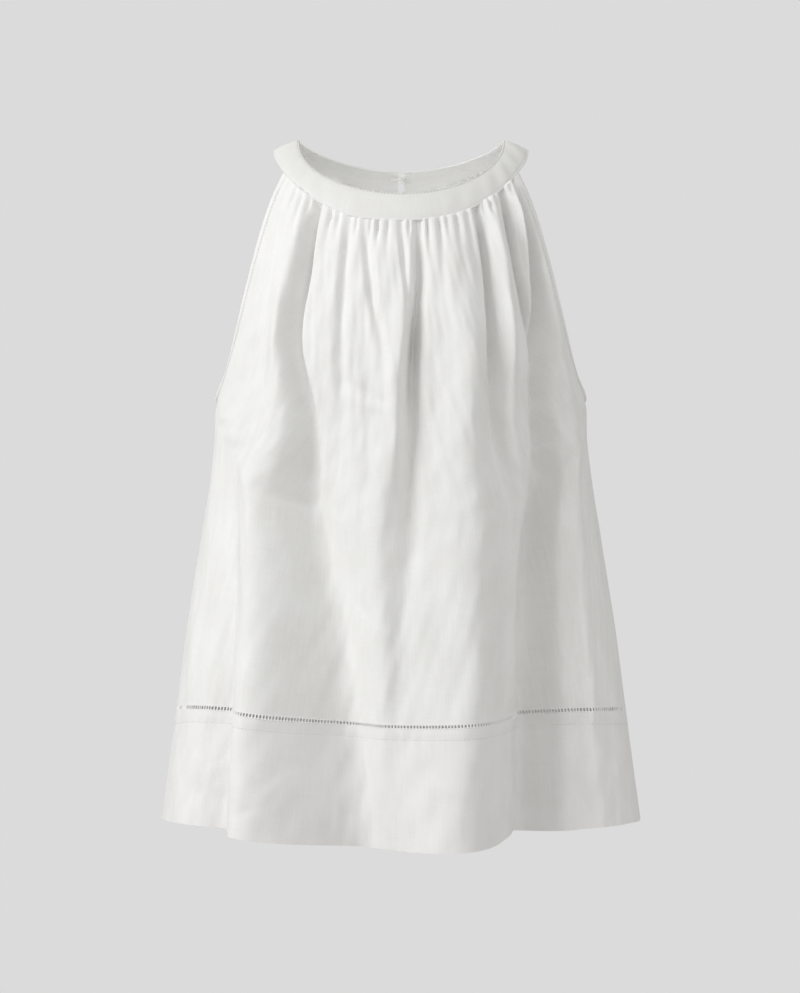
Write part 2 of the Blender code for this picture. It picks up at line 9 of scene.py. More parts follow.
import bpy
import numpy as np
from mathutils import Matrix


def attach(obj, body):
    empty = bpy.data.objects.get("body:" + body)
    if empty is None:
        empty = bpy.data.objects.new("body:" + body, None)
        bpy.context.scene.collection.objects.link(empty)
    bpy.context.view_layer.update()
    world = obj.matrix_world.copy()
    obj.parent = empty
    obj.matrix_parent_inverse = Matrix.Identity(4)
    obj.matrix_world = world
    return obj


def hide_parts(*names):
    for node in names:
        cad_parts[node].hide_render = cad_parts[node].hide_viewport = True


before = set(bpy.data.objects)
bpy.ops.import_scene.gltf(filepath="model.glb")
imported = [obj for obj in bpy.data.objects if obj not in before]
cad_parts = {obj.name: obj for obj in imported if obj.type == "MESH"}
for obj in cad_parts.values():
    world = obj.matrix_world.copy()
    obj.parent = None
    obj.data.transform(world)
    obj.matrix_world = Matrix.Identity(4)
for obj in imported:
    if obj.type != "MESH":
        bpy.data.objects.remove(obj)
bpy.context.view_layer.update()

MM = 0.001

# ---- Sizes that the frame was made from ----

SEAM_GAP = 0.3
BINDING_WIDTH = 6.6
BINDING_FLARE = 0.3
NECK_HALF_WIDTH = 92.0
NECK_FRONT_DEPTH = 95.0
NECK_BACK_DEPTH = 50.0
NECK_TOP = 6.0
NECK_FRONT_DROP = 59.6
NECK_BACK_DROP = 21.4
NECK_BACK_POWER = 1.7
SHOULDER_SEAM = 121.0
SHOULDER_SEAM_GAP = 0.22
BACK_START = SHOULDER_SEAM + SHOULDER_SEAM_GAP
COLLAR_END = 178.3
FRONT_CORNER = 69.5
BACK_CORNER = 118.0
BINDING_TURN = 4.2
COLLAR_ROUND = 1.2
HEMSTITCH_CENTRE = 508.0
HEM_FRONT_CENTRE = 613.0
HEM_BACK_CENTRE = 607.0
SIDE_SEAM_HALF_GAP = 0.15
SEAM_REACH = 60.0
NORMAL_REACH = 25.0
FOLDS_START = 30.0
SLIT_LENGTH = 92.0
SLIT_TOP_HALF = 2.75
SLIT_MIDDLE_HALF = 5.0

# ---- Sizes of the sewn cloth ----

CLOTH = 0.6
BAND_CLOTH = 1.2
COLLAR_CLOTH = 1.8
BINDING_CLOTH = 1.6
BINDING_BULGE = 0.5
HALF_CUT_WIDTH = 300.0
INNER_MAP_SHIFT = 200
RIM_ANGLE = np.radians(50)
GATHER_GAIN = 1.25
GATHER_SWELL = 1.2

# How far the panels reach up into the collar, and how far below its outer face
TUCK = 2.3
TUCK_INSIDE = 0.6

# The rows of stitches, each so far from its edge, and the grooves that they pull
THREAD_LENGTH = 2.3
THREAD_PITCH = 3.1
THREAD_WIDTH = 0.5
THREAD_HEIGHT = 0.35
COLLAR_STITCH_INSET = 1.3
COLLAR_ROLL_INSET = 1.9
FACING_SEAM = 12.5
BINDING_STITCH_INSET = 1.3
GROOVE_WIDTH = 0.9
OUTER_GROOVE = 0.4
INNER_GROOVE = 0.5

# The turned-in cloth below the hemstitching, and the puckers along its row of stitches
ALLOWANCE = 9.5
ALLOWANCE_RISE = 0.45
PUCKER_HEIGHT = 0.32
PUCKER_REACH = 6.5

# The hemstitching: a bundle's rings by their share of the gap and their width, how deep
# and how far in they lie, and the rolled edges above and below
LADDER_TOP = 506.7
LADDER_BOTTOM = 509.7
LADDER_PITCH = 2.85
BUNDLE_SHARES = (-0.15, 0.12, 0.35, 0.65, 0.88, 1.15)
BUNDLE_WIDTHS = (2.4, 1.7, 1.35, 1.35, 1.7, 2.4)
BUNDLE_HALF_DEPTH = 0.35
BUNDLE_SINK = 0.25
LADDER_EDGE = 0.38
LADDER_EDGE_SINK = 0.2

# The thread bars over the closure, each so far below the neck edge
BAR_INSETS = (3.6, 6.8, 9.9, 12.8)
BAR_RADIUS = 0.5
BAR_MIDDLE = 1.4
BAR_REACH = 3.6
BAR_GAP = 0.9
BAR_BOW = 0.5

# The washed linen's small waves: the length and the height of each kind
RIPPLES = ((95, 0.44), (60, 0.336), (38, 0.24), (24, 0.168), (14, 0.096))


def table(names, *rows):
    """Columns by name, from rows of numbers."""
    return dict(zip(names.split(), np.array(rows, dtype=float).T))


COLLAR = table(
    "angle  width  slope",
    (0, 29.5, 59), (28, 29.8, 55), (45, 26.4, 47), (57, 24.4, 41), (69, 23.2, 35),
    (80, 24.2, 28), (90, 25.0, 22), (100, 25.0, 19), (125, 25.5, 15), (145, 25.8, 24),
    (163, 26.0, 37), (180, 26.0, 46),
)
FRONT_CENTRE = table(
    "depth  y",
    (79, -110.7), (100, -119), (125, -127), (165, -136.5), (210, -142.5), (260, -145),
    (341, -147.5), (430, -152.5), (508, -157), (613, -161),
)
FRONT_ARMHOLE = table(
    "depth  x  y  z",
    (79, 101.0, -47.0, -33.0), (100, 108.3, -54.5, -50), (125, 115.0, -61.5, -70),
    (165, 125.2, -67.5, -106), (210, 136.0, -66.5, -147), (255, 146.3, -56.0, -184),
    (288, 155.5, -39.5, -210), (316, 162.8, -20.0, -226), (341, 165.6, 0.0, -231.5),
)
FRONT_SIDE = table(
    "depth  x  z  end",
    (341, 165.6, -231.5, 90), (358, 166.8, -262, 89), (378, 171.0, -297, 87),
    (418, 181.8, -364, 83), (463, 193.2, -437, 80), (508, 202.0, -505, 78),
    (613, 215.3, -604, 77),
)
BACK_CENTRE = table(
    "depth  y",
    (34, 68.0), (52, 76), (75, 86), (98, 94), (150, 105), (210, 111), (270, 112), (330, 113),
    (420, 117.5), (508, 123), (607, 128),
)
BACK_ARMHOLE = table(
    "depth  x  y  z",
    (34, 94.0, 45.3, -11.5), (58, 103.5, 55.5, -40), (98, 111.5, 63.5, -75),
    (150, 120.0, 67.0, -120), (205, 131.5, 60.0, -165), (255, 146.0, 43.0, -203),
    (297, 160.5, 21.0, -226), (330, 165.6, 0.0, -231.5),
)
BACK_SIDE = table(
    "depth  x  z  end",
    (330, 165.6, -231.5, 90), (348, 166.8, -262, 89), (370, 171.0, -297, 87),
    (413, 181.8, -364, 84), (460, 193.2, -437, 81), (508, 202.0, -505, 80),
    (607, 215.3, -604, 79),
)
FRONT_RISE = table(
    "across  rise",
    (-1.0, 0.0), (-0.85, 6.0), (-0.68, 9.0), (-0.5, 8.0), (-0.3, 3.3), (0.0, 0.3), (0.2, 1.5),
    (0.33, 4.0), (0.42, 7.5), (0.54, 9.0), (0.7, 8.5), (0.85, 6.5), (1.0, 0.0),
)
BACK_RISE = table(
    "across  rise",
    (-1.0, 0.0), (-0.6, 3.0), (0.0, 0.0), (0.6, 3.0), (1.0, 0.0),
)

# How far the hem of the front rises beyond that, below the hemstitching
HEM_STEP = table(
    "across  rise",
    (-1.0, 0.0), (0.1, 0.0), (0.2, 0.0), (0.28, 0.5), (0.34, 3.0), (0.40, 4.0), (0.46, 1.5),
    (0.54, 0.5), (0.65, 1.5), (0.85, 2.0), (1.0, 0.0),
)
NO_STEP = table("across  rise", (-1.0, 0.0), (0.0, 0.0), (1.0, 0.0))

# How far the cloth on each side stands forward as a flute, between the middle and the seam
FLARE_START = 0.5
FRONT_FLARE = table(
    "depth  left  right",
    (250, 0.0, 0.0), (341, 8.0, 18.0), (430, 12.0, 30.0), (508, 16.0, 38.0), (613, 18.0, 42.0),
)
BACK_FLARE = table(
    "depth  left  right",
    (250, 0.0, 0.0), (330, 8.0, 6.0), (420, 14.0, 12.0), (508, 18.0, 16.0), (607, 20.0, 18.0),
)

# The large folds, one to a row. A fold's place across the panel (p) and its height out of
# the cloth in millimetres (h) are given at seven depths from the collar to the hem. Each
# flank has its own width in millimetres, at the collar and at the hem.
FOLD_COLUMNS = """p1 p2 p3 p4 p5 p6 p7  h1 h2 h3 h4 h5 h6 h7
    left_top left_hem right_top right_hem"""
FRONT_STATIONS = np.array([85.0, 140.0, 200.0, 270.0, 350.0, 480.0, 613.0])
BACK_STATIONS = np.array([38.0, 100.0, 170.0, 250.0, 340.0, 480.0, 607.0])
FRONT_FOLDS = table(
    FOLD_COLUMNS,
    (-0.80, -0.74, -0.69, -0.62, -0.59, -0.515, -0.475, 0.5, 1, 1.5, 2.5, 4, 7, 8, 6, 6, 28, 28),
    (-0.90, -0.87, -0.80, -0.71, -0.68, -0.60, -0.575, 0, -0.5, -1, -2, -4, -7, -13, 30, 30, 9, 9),
    (-0.72, -0.70, -0.68, -0.55, -0.50, -0.44, -0.43, 1, 3, 6, 8, 14, 21, 23, 20, 32, 8, 44),
    (-0.63, -0.635, -0.63, -0.46, -0.37, -0.34, -0.34,
     -18, -24, -26, -16, -6, -2, 0, 8, 18, 6, 30),
    (-0.50, -0.50, -0.46, -0.37, -0.29, -0.20, -0.13, 0, 0, 0, -13, -29, -38, -44, 26, 58, 15, 48),
    (-0.36, -0.355, -0.32, -0.27, -0.27, -0.27, -0.27, -5, -5, -4, -2, 0, 0, 0, 6, 6, 7, 9),
    (-0.25, -0.18, -0.09, -0.09, -0.09, -0.09, -0.09, -4, -5, -2, 0, 0, 0, 0, 6, 6, 6, 6),
    (0.00, 0.035, 0.06, 0.06, 0.06, 0.06, 0.06, -5, -4, 0, 0, 0, 0, 0, 4, 4, 5, 5),
    (0.05, 0.04, -0.01, -0.03, -0.065, -0.06, -0.06, 1, 3, 6, 7, 5, 4, 2, 14, 18, 6, 14),
    (0.11, 0.10, 0.06, 0.045, 0.03, -0.01, 0.00, -8, -12, -19, -10, -6, -3, 0, 5, 14, 6, 20),
    (0.38, 0.38, 0.37, 0.28, 0.24, 0.21, 0.17, 1, 5, 12, 15, 17, 19, 18, 22, 42, 19, 30),
    (0.555, 0.55, 0.50, 0.415, 0.36, 0.30, 0.28, -14, -15, -14, -7, -1, 0, 0, 5, 12, 5, 10),
    (0.66, 0.65, 0.60, 0.50, 0.43, 0.38, 0.37, 3, 7, 10, 8, 5, 3, 3, 8, 10, 9, 12),
    (0.80, 0.76, 0.755, 0.74, 0.70, 0.70, 0.70, -18, -23, -16, 0, 0, 0, 0, 5, 5, 5, 5),
    (0.96, 0.925, 0.87, 0.735, 0.57, 0.49, 0.455,
     -22, -26, -28, -24, -28, -36, -44, 5, 46, 6, 16),
    (0.89, 0.86, 0.80, 0.74, 0.70, 0.70, 0.70, 7, 8, 3, 0, 0, 0, 0, 5, 5, 5, 5),
    (0.98, 0.96, 0.94, 0.86, 0.71, 0.67, 0.65, 6, 10, 10, 7, 6, 7, 7, 6, 15, 16, 20),
)
BACK_FOLDS = table(
    FOLD_COLUMNS,
    (-0.80, -0.79, -0.78, -0.76, -0.73, -0.70, -0.68, 0.5, 1, 3, 5, 8, 11, 12, 18, 24, 18, 26),
    (-0.62, -0.60, -0.58, -0.55, -0.53, -0.50, -0.48, -4, -5, -7, -8, -9, -10, -11, 9, 18, 9, 20),
    (-0.40, -0.38, -0.36, -0.33, -0.31, -0.28, -0.27, 1, 3, 5, 7, 9, 10, 10, 16, 26, 14, 22),
    (-0.20, -0.18, -0.16, -0.13, -0.11, -0.10, -0.09, -2, -4, -6, -8, -9, -9, -9, 9, 20, 10, 24),
    (0.16, 0.155, 0.15, 0.14, 0.13, 0.12, 0.12, 1, 2, 4, 6, 8, 9, 9, 14, 24, 16, 26),
    (0.36, 0.35, 0.34, 0.33, 0.32, 0.31, 0.31, -4, -6, -7, -7, -7, -7, -7, 7, 16, 8, 20),
    (0.56, 0.55, 0.54, 0.53, 0.52, 0.51, 0.50, 0.5, 2, 4, 5, 6, 7, 7, 12, 20, 14, 22),
    (0.76, 0.75, 0.74, 0.72, 0.70, 0.68, 0.67, -4, -6, -7, -8, -9, -10, -11, 8, 20, 9, 20),
)

# The gathers of the front between those folds: each is a narrow valley with its place at
# the collar, and its depth, length and width in millimetres.
FRONT_GATHERS = table(
    "place  deep  length  width",
    (-0.93, 2.2, 30, 3.5), (-0.84, 2.9, 25, 3.0), (-0.76, 2.3, 36, 3.0), (-0.70, 2.9, 18, 2.6),
    (-0.63, 3.2, 14, 2.4), (-0.50, 3.5, 20, 2.5), (-0.44, 2.6, 16, 2.5), (-0.31, 2.6, 18, 2.2),
    (-0.21, 2.9, 14, 2.2), (-0.16, 4.6, 17, 2.5), (-0.09, 2.9, 18, 2.4), (0.055, 3.2, 14, 2.2),
    (0.14, 2.6, 13, 2.0), (0.185, 3.6, 24, 2.3), (0.265, 3.0, 66, 2.8), (0.32, 1.8, 16, 2.3),
    (0.39, 3.2, 26, 2.6), (0.47, 2.2, 40, 2.8), (0.61, 2.9, 14, 2.4), (0.66, 4.9, 11, 2.5),
    (0.73, 2.3, 20, 2.5), (0.88, 3.2, 17, 2.5), (0.94, 2.6, 15, 2.4),
)

# The creases: each has its centre, its turn from level in degrees, and in millimetres its
# length, half width and height out of the cloth.
FRONT_CREASES = table(
    "place  depth  turn  length  width  height",
    (-0.20, 228, 14, 62, 5.0, -1.1), (-0.16, 240, 8, 50, 4.0, 0.8),
    (-0.13, 412, 36, 56, 5.0, -1.0), (-0.09, 424, 30, 44, 4.5, 0.8),
    (-0.37, 566, -58, 30, 4.0, 0.8), (-0.43, 590, -32, 26, 5.0, -0.6),
    (-0.62, 556, -22, 52, 7.0, 0.9), (-0.66, 584, 12, 44, 8.0, -0.9),
    (-0.55, 540, 8, 40, 6.0, 0.6), (-0.70, 430, -12, 48, 8.0, 0.7),
    (-0.64, 380, 24, 40, 7.0, -0.6), (0.12, 560, 12, 46, 8.0, 0.6),
    (0.20, 330, -20, 44, 7.0, 0.6), (0.30, 455, 18, 50, 8.0, -0.6),
    (0.62, 500, -24, 46, 7.0, 0.8), (0.74, 560, 14, 40, 7.0, 0.8),
    (0.48, 575, 80, 50, 5.0, 0.9), (-0.22, 585, 84, 44, 5.0, 0.9),
    (-0.12, 560, 78, 50, 5.0, -0.9), (0.66, 300, 30, 40, 6.0, 0.7),
)
BACK_CREASES = table(
    "place  depth  turn  length  width  height",
    (-0.55, 250, 16, 60, 6.0, -0.9), (-0.20, 320, -12, 70, 7.0, 0.8),
    (0.15, 380, 20, 56, 6.0, -0.9), (0.50, 300, -22, 54, 6.0, 0.8),
    (0.62, 460, 12, 48, 7.0, 0.8), (-0.66, 440, -18, 52, 7.0, 0.8),
    (-0.30, 560, 30, 44, 6.0, 0.9), (0.30, 570, -26, 46, 6.0, -0.9),
)

FRONT = dict(
    name="front",
    side=-1,
    top=FRONT_CENTRE["depth"][0],
    underarm=FRONT_SIDE["depth"][0],
    centre=FRONT_CENTRE,
    armhole=FRONT_ARMHOLE,
    seam=FRONT_SIDE,
    rise=FRONT_RISE,
    hem_step=HEM_STEP,
    flare=FRONT_FLARE,
    folds=FRONT_FOLDS,
    stations=FRONT_STATIONS,
    gathers=FRONT_GATHERS,
    creases=FRONT_CREASES,
    hem=HEM_FRONT_CENTRE,
    seed=7,
)
BACK = dict(
    name="back",
    side=1,
    top=BACK_CENTRE["depth"][0],
    underarm=BACK_SIDE["depth"][0],
    centre=BACK_CENTRE,
    armhole=BACK_ARMHOLE,
    seam=BACK_SIDE,
    rise=BACK_RISE,
    hem_step=NO_STEP,
    flare=BACK_FLARE,
    folds=BACK_FOLDS,
    stations=BACK_STATIONS,
    hem=HEM_BACK_CENTRE,
    creases=BACK_CREASES,
    seed=11,
)

# ---- Small tools ----


def smooth(places, values, at):
    """A cubic through the values, with each slope taken from the neighbours."""
    slopes = np.gradient(values, places)
    k = np.clip(np.searchsorted(places, at, side="right") - 1, 0, len(places) - 2)
    step = places[k + 1] - places[k]
    t = np.clip((at - places[k]) / step, 0.0, 1.0)
    first = (1 + 2 * t) * (1 - t) ** 2 * values[k]
    last = t**2 * (3 - 2 * t) * values[k + 1]
    bend = t * (1 - t) * step * ((1 - t) * slopes[k] - t * slopes[k + 1])
    return first + last + bend


def read(rows, column, at):
    """A column of a table, read at places along its first column."""
    return smooth(next(iter(rows.values())), rows[column], at)


def points(x, y, z):
    """One array of points from their coordinates."""
    return np.stack(np.broadcast_arrays(x, y, z), axis=-1)


def unit(vectors):
    """The same directions with a length of one."""
    return vectors / np.linalg.norm(vectors, axis=-1, keepdims=True)


def fade(distance, reach):
    """One at the start, and smoothly down to zero at the reach."""
    t = np.clip(distance / reach, 0.0, 1.0)
    return 1 - t * t * (3 - 2 * t)


def travelled(line):
    """The distance run along a line of points."""
    return np.concatenate([[0.0], np.cumsum(np.linalg.norm(np.diff(line, axis=0), axis=1))])


# ---- The collar's surface ----


def collar_frame(angle):
    """Points of the neck edge, and there the directions down the collar and out of it.

    The neck edge is an oval, half the neck's width times the sine of the angle across and
    its front or back depth times the cosine, and it drops with the cosine too.
    """
    turn = np.radians(angle)
    ahead = np.cos(turn)
    front = ahead > 0
    depth = np.where(front, NECK_FRONT_DEPTH, NECK_BACK_DEPTH)
    drop_front = NECK_FRONT_DROP * ahead
    drop_back = NECK_BACK_DROP * np.abs(ahead) ** NECK_BACK_POWER
    z = NECK_TOP - np.where(front, drop_front, drop_back)
    edge = points(NECK_HALF_WIDTH * np.sin(turn), -depth * ahead, z)
    level = unit(points(np.sin(turn) / NECK_HALF_WIDTH, -ahead / depth, 0 * turn))
    slope = np.radians(read(COLLAR, "slope", np.abs(angle)))[..., None]
    upright = np.array([0.0, 0.0, 1.0])
    down = np.cos(slope) * level - np.sin(slope) * upright
    out = np.sin(slope) * level + np.cos(slope) * upright
    return edge, down, out


def collar_width(angle):
    """The collar's width from its neck edge to its lower edge."""
    return read(COLLAR, "width", np.abs(angle))


def collar_seam(angle):
    """The line that hangs a seam's gap below the collar's lower edge."""
    edge, down, out = collar_frame(angle)
    return edge + (collar_width(angle) + SEAM_GAP)[..., None] * down


# ---- The panels' surface ----


def side_edge(half, depth):
    """A panel's edge on +X, from the armhole to the hem, and the turn that ends its arc."""
    armhole = half["armhole"]
    seam = half["seam"]
    below = depth >= half["underarm"]
    x = np.where(below, read(seam, "x", depth), read(armhole, "x", depth))
    z = np.where(below, read(seam, "z", depth), read(armhole, "z", depth))
    y_arm = half["side"] * np.where(below, 0.0, read(armhole, "y", depth))
    y = half["side"] * np.maximum(y_arm, SIDE_SEAM_HALF_GAP)
    end_arm = np.arccos(y / read(half["centre"], "y", depth))
    return x, y, z, np.where(below, np.radians(read(seam, "end", depth)), end_arm)


def neck_angle(half, across):
    """The place round the neck that a panel's top point hangs from, on either side."""
    if half is FRONT:
        return (FRONT_CORNER - BINDING_TURN) * across
    inner = BACK_CORNER + BINDING_TURN
    return np.where(across < 0, -1, 1) * (180 - (180 - inner) * np.abs(across))


def flare_push(half, across, depth):
    """How far the cloth stands out of its arc: nothing in the middle and at the seam.

    Beyond the start the share is t squared times one less t, scaled to reach one.
    """
    t = np.clip((np.abs(across) - FLARE_START) / (1 - FLARE_START), 0, 1)
    share = 6.75 * t**2 * (1 - t)
    left = read(half["flare"], "left", depth)
    right = read(half["flare"], "right", depth)
    return share * np.where(across < 0, left, right)


def arc(half, across, depth):
    """Ellipse arcs that rise or fall evenly towards the sides."""
    centre_y = read(half["centre"], "y", depth)
    side_x, side_y, side_z, end = side_edge(half, depth)
    turn = end * across
    lift = (np.cos(turn) - np.cos(end)) / (1 - np.cos(end))
    x = side_x * np.sin(turn) / np.sin(end)
    y = side_y + (centre_y - side_y) * lift
    y = y + half["side"] * flare_push(half, across, depth)
    z = side_z + (-depth - side_z) * lift
    rise = read(half["rise"], "rise", across)
    grown = 1 - fade(depth - half["underarm"], HEMSTITCH_CENTRE - half["underarm"])
    step = read(half["hem_step"], "rise", across)
    stepped = 1 - fade(depth - HEMSTITCH_CENTRE, half["hem"] - HEMSTITCH_CENTRE)
    return points(x, y, z + rise * grown + step * stepped)


def plain_surface(half, across, depth):
    """A panel without folds, whose top rows pass smoothly into the collar's lower edge."""
    depth = depth + 0 * across
    across = across + 0 * depth
    reach = fade(depth - half["top"], SEAM_REACH)[..., None]
    shift = collar_seam(neck_angle(half, across)) - arc(half, across, half["top"] + 0 * depth)
    return arc(half, across, depth) + reach * shift


def surface_normal(half, across, depth):
    """The outward normal, turned into the collar's own at the very top."""
    depth = depth + 0 * across
    across = across + 0 * depth
    step = 0.004
    left = plain_surface(half, np.clip(across - step, -1, 1), depth)
    right = plain_surface(half, np.clip(across + step, -1, 1), depth)
    upper = plain_surface(half, across, np.clip(depth - 1.0, half["top"], None))
    lower = plain_surface(half, across, np.clip(depth + 1.0, None, half["hem"]))
    normal = unit(np.cross(right - left, upper - lower))
    collar_out = collar_frame(neck_angle(half, across))[2]
    near = fade(depth - half["top"], NORMAL_REACH)[..., None]
    normal = unit(half["side"] * -normal * (1 - near) + collar_out * near)
    at_seam = (np.abs(across) > 0.999) & (depth >= half["underarm"])
    normal[..., 1] = np.where(at_seam, 0.0, normal[..., 1])
    return unit(normal)


def half_arc(half, depth):
    """Roughly half the distance across a panel, which turns a place into millimetres."""
    return 0.5 * np.pi * (side_edge(half, depth)[0] + 10)


def fold_height(half, across, depth):
    """The sum of the folds: each is a bell across the cloth with its own two flanks."""
    stations = half["stations"]
    below = depth - half["top"]
    share = below / (half["hem"] - half["top"])
    total = 0 * across * depth
    for row in zip(*half["folds"].values()):
        places, heights = np.array(row[:7]), np.array(row[7:14])
        left_top, left_hem, right_top, right_hem = row[14:]
        offset = (across - smooth(stations, places, depth)) * half_arc(half, depth)
        left = left_top + (left_hem - left_top) * share
        right = right_top + (right_hem - right_top) * share
        bell = np.exp(-((offset / np.where(offset < 0, left, right)) ** 2))
        total = total + smooth(stations, heights, depth) * bell
    return total * (1 - 0.4 * fade(below, FOLDS_START))


def gather_height(half, across, depth):
    """The gathers: narrow valleys below the collar, uneven in place, depth and length.

    Each valley is a bell that is shallower at the seam, deepest a few millimetres below it,
    and dies away along its own length while it widens.
    """
    below = depth - half["top"]
    grown = 0.6 + 0.4 * (1 - fade(below, 7))
    total = 0 * across * depth
    for place, deep, length, width in zip(*half["gathers"].values()):
        offset = (across - place) * half_arc(half, depth)
        dying = np.exp(-((below / length) ** 1.6))
        bell = np.exp(-((offset / (width * (1 + below / 45))) ** 2))
        total = total - GATHER_GAIN * deep * grown * dying * bell
    return total + GATHER_SWELL * np.exp(-((below / 40) ** 2))


def even_gathers(count, seed):
    """Gathers for the cloth that the front hides: even in place, uneven in all else."""
    rng = np.random.default_rng(seed)
    place = -1 + (np.arange(count) + 0.5 + 0.3 * rng.uniform(-1, 1, count)) * 2 / count
    return dict(
        place=place,
        deep=rng.uniform(1.5, 4.2, count),
        length=rng.uniform(14, 50, count),
        width=rng.uniform(2.2, 3.2, count),
    )


def ripple(half, across, depth):
    """Small uneven waves of washed linen: a few long crossing sines, under a millimetre."""
    x = across * HALF_CUT_WIDTH
    rng = np.random.default_rng(half["seed"] + 100)
    total = 0 * x * depth
    for wave_length, height in RIPPLES:
        for _ in range(3):
            tilt = rng.uniform(-0.9, 0.9)
            phase = rng.uniform(0, 2 * np.pi)
            bend = rng.uniform(20, 60)
            run = x * np.cos(tilt) + depth * np.sin(tilt) * 0.6
            run = run + bend * np.sin(depth / rng.uniform(70, 150) + phase)
            total = total + height * np.sin(2 * np.pi * run / wave_length + phase)
    return total * (1 - fade(depth - half["top"], 60))


def crease_height(half, across, depth):
    """Soft creases: ridges and troughs along short straight lines on the flat cloth.

    Each is a bell across its line, and dies away beyond the line's two ends.
    """
    total = 0 * across * depth
    for place, below, turn, length, width, height in zip(*half["creases"].values()):
        x = (across - place) * half_arc(half, depth)
        y = depth - below
        turn = np.radians(turn)
        along = x * np.cos(turn) + y * np.sin(turn)
        aside = -x * np.sin(turn) + y * np.cos(turn)
        bell = np.exp(-((aside / width) ** 2) - (along / (0.5 * length)) ** 4)
        total = total + height * bell
    return total


def allowance_height(half, across, depth):
    """The turned-in cloth above the second row of stitches, and the puckers along it.

    The cloth stands a little proud down to the row, and uneven sines run across it there
    and die away within a few millimetres.
    """
    below = depth - (HEMSTITCH_CENTRE + ALLOWANCE)
    x = across * HALF_CUT_WIDTH
    wave = np.sin(x / 1.9 + 2 * np.sin(x / 17)) * (0.6 + 0.4 * np.sin(x / 31 + 1))
    pucker = PUCKER_HEIGHT * wave * np.exp(-((below / PUCKER_REACH) ** 2))
    return (ALLOWANCE_RISE * fade(below + 1.0, 2.0) + pucker) * (depth > HEMSTITCH_CENTRE)


def draped_surface(half, across, depth):
    """A panel's outer surface with gathers, folds and ripples, and the plain normal."""
    base = plain_surface(half, across, depth)
    normal = surface_normal(half, across, depth)
    inside = 1 - across**16
    height = gather_height(half, across, depth) + fold_height(half, across, depth)
    height = height + ripple(half, across, depth) + crease_height(half, across, depth)
    height = height + allowance_height(half, across, depth)
    return base + (inside * height)[..., None] * normal, normal


BACK["gathers"] = even_gathers(28, 11)

# ---- Materials ----


def linear(hex_colour):
    """An sRGB hex colour as linear red, green, blue and alpha."""
    channels = np.array([int(hex_colour[k : k + 2], 16) for k in (1, 3, 5)]) / 255
    high = ((channels + 0.055) / 1.055) ** 2.4
    return (*np.where(channels <= 0.04045, channels / 12.92, high), 1.0)


def add_node(tree, kind, settings=(), **inputs):
    """One node with its settings and its inputs, which are values or other nodes' outputs."""
    node = tree.nodes.new(kind)
    for name, value in dict(settings).items():
        setattr(node, name, value)
    for name, value in inputs.items():
        key = int(name[1:]) if name[0] == "n" and name[1:].isdigit() else name.replace("_", " ")
        socket = node.inputs[key]
        if isinstance(value, bpy.types.NodeSocket):
            tree.links.new(value, socket)
        else:
            socket.default_value = value
    return node


def mix_colours(tree, share, dark, light, shader):
    """The shader's base colour, mixed from two tones."""
    blend = add_node(
        tree,
        "ShaderNodeMix",
        dict(data_type="RGBA"),
        n0=share,
        n6=linear(dark),
        n7=linear(light),
    )
    tree.links.new(blend.outputs[2], shader.inputs["Base Color"])


def linen(name, colour, shade):
    """Plain-woven linen: matt, with a faint sheen and uneven slub threads both ways.

    The colour and its shade differ as thick and thin threads do. The map holds the cloth's
    own millimetres, so the threads follow the gathers and the folds.
    """
    material = bpy.data.materials.new(name)
    material.use_nodes = True
    tree = material.node_tree
    shader = tree.nodes["Principled BSDF"]
    cloth = add_node(tree, "ShaderNodeUVMap", dict(uv_map="cloth")).outputs["UV"]

    def threads(along, across_threads, detail):
        """Noise drawn out into streaks, so many millimetres long and wide."""
        scale = (1 / along, 1 / across_threads, 1.0)
        place = add_node(tree, "ShaderNodeMapping", Vector=cloth, Scale=scale)
        return add_node(
            tree,
            "ShaderNodeTexNoise",
            dict(noise_dimensions="2D"),
            Vector=place.outputs["Vector"],
            Scale=1.0,
            Detail=detail,
            Roughness=0.6,
        ).outputs["Fac"]

    # Threads are 0.5 mm apart. They are drawn 1 mm wide to show at the photo's scale.
    weft = threads(16.0, 1.0, 3.0)
    warp = threads(1.0, 34.0, 3.0)
    added = dict(operation="MULTIPLY_ADD")
    both = add_node(tree, "ShaderNodeMath", added, n0=weft, n1=0.55, n2=warp)
    cloudy = threads(34.0, 48.0, 4.0)
    shading = add_node(tree, "ShaderNodeMath", added, n0=cloudy, n1=1.3, n2=both.outputs[0])
    mix = add_node(
        tree, "ShaderNodeMapRange", Value=shading.outputs[0], From_Min=0.75, From_Max=2.1
    )
    mix_colours(tree, mix.outputs[0], shade, colour, shader)
    bump = add_node(
        tree, "ShaderNodeBump", Strength=0.35, Distance=0.00025, Height=both.outputs[0]
    )
    tree.links.new(bump.outputs["Normal"], shader.inputs["Normal"])
    shader.inputs["Roughness"].default_value = 0.9
    shader.inputs["Specular IOR Level"].default_value = 0.25
    shader.inputs["Sheen Weight"].default_value = 0.12
    shader.inputs["Sheen Roughness"].default_value = 0.5
    return material


def plain_material(name, dark, light, grain, detail, roughness):
    """A smooth material whose colour wanders between two tones, with so fine a grain."""
    material = bpy.data.materials.new(name)
    material.use_nodes = True
    tree = material.node_tree
    shader = tree.nodes["Principled BSDF"]
    place = add_node(tree, "ShaderNodeTexCoord").outputs["Object"]
    speckle = add_node(tree, "ShaderNodeTexNoise", Vector=place, Scale=grain, Detail=detail)
    mix_colours(tree, speckle.outputs["Fac"], dark, light, shader)
    shader.inputs["Roughness"].default_value = roughness
    return material


# ---- Meshes ----


